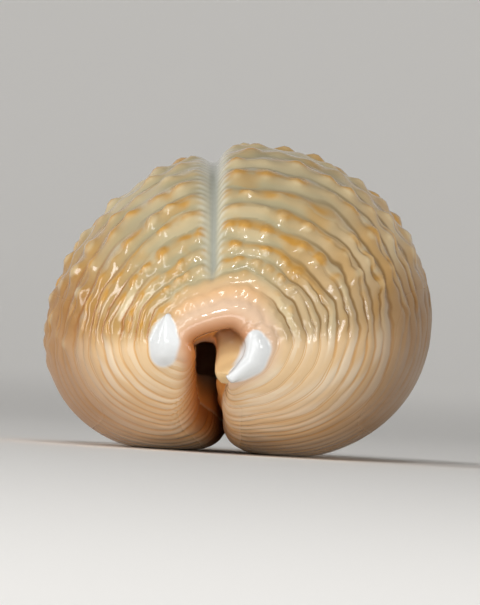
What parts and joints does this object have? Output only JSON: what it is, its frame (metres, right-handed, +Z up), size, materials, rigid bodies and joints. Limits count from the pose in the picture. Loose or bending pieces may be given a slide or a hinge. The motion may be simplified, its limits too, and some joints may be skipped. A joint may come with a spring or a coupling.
{
  "type": "nucleus cowrie shell",
  "caption": "Small glossy sea shell with a knobbly back split by a groove, a ridged base and a narrow toothed mouth ending in a curled canal.",
  "frame": {"origin": "on the resting surface, under the middle of the shell's box", "axes": "+Y from the front (anterior) end to the back (posterior) end along the shell's length, +Z up through the knobbly back, +X towards the columellar lip, to the right when looking at the front end"},
  "size_m": [0.0148, 0.023, 0.0119],
  "materials": {
    "glossy_shell": "very glossy enamelled shell: tan to grey back with orange-rimmed knobs, peach cream base with orange lines between the ridges, white spots beside the canal"
  },
  "bodies": {
    "root": {"shell": "glossy_shell"}
  },
  "joints": []
}
